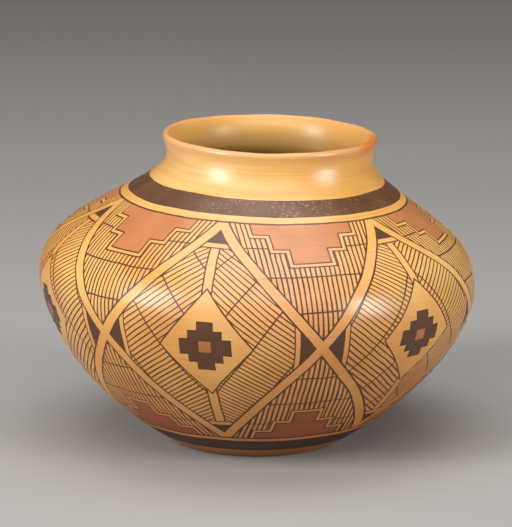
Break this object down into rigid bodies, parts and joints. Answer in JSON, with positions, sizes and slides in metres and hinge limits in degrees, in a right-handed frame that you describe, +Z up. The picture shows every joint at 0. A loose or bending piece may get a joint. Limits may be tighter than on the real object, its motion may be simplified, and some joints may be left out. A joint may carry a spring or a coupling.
{
  "type": "pottery jar",
  "caption": "Wide-bellied coil-built pottery jar with a short flared neck, burnished buff and red slip and painted fine-line bands; stands on a flat base and holds water, seed or stems.",
  "frame": {"origin": "on the axis of the base and belly, on the flat underside it stands on", "axes": "+Z up along the axis of base and belly; the neck leans to +X; -Y is the side that the picture sees"},
  "size_m": [0.254, 0.254, 0.1825],
  "materials": {
    "burnished_buff_clay": "stone-burnished buff clay, soft gloss",
    "painted_slip_clay": "burnished buff and red slip with brown-black painted lines"
  },
  "bodies": {
    "root": {"base_pat": "painted_slip_clay", "lower_wall_coil_1": "painted_slip_clay", "lower_wall_coil_2": "painted_slip_clay", "lower_wall_coil_3": "painted_slip_clay", "lower_wall_coil_4": "painted_slip_clay", "lower_wall_coil_5": "painted_slip_clay", "lower_wall_coil_6": "painted_slip_clay", "lower_wall_coil_7": "painted_slip_clay", "shoulder_coil_1": "painted_slip_clay", "shoulder_coil_2": "painted_slip_clay", "shoulder_coil_3": "painted_slip_clay", "neck_coil_1": "painted_slip_clay", "neck_coil_2": "painted_slip_clay", "neck_coil_3": "painted_slip_clay", "neck_coil_4": "burnished_buff_clay", "rim_coil": "burnished_buff_clay"}
  },
  "joints": []
}
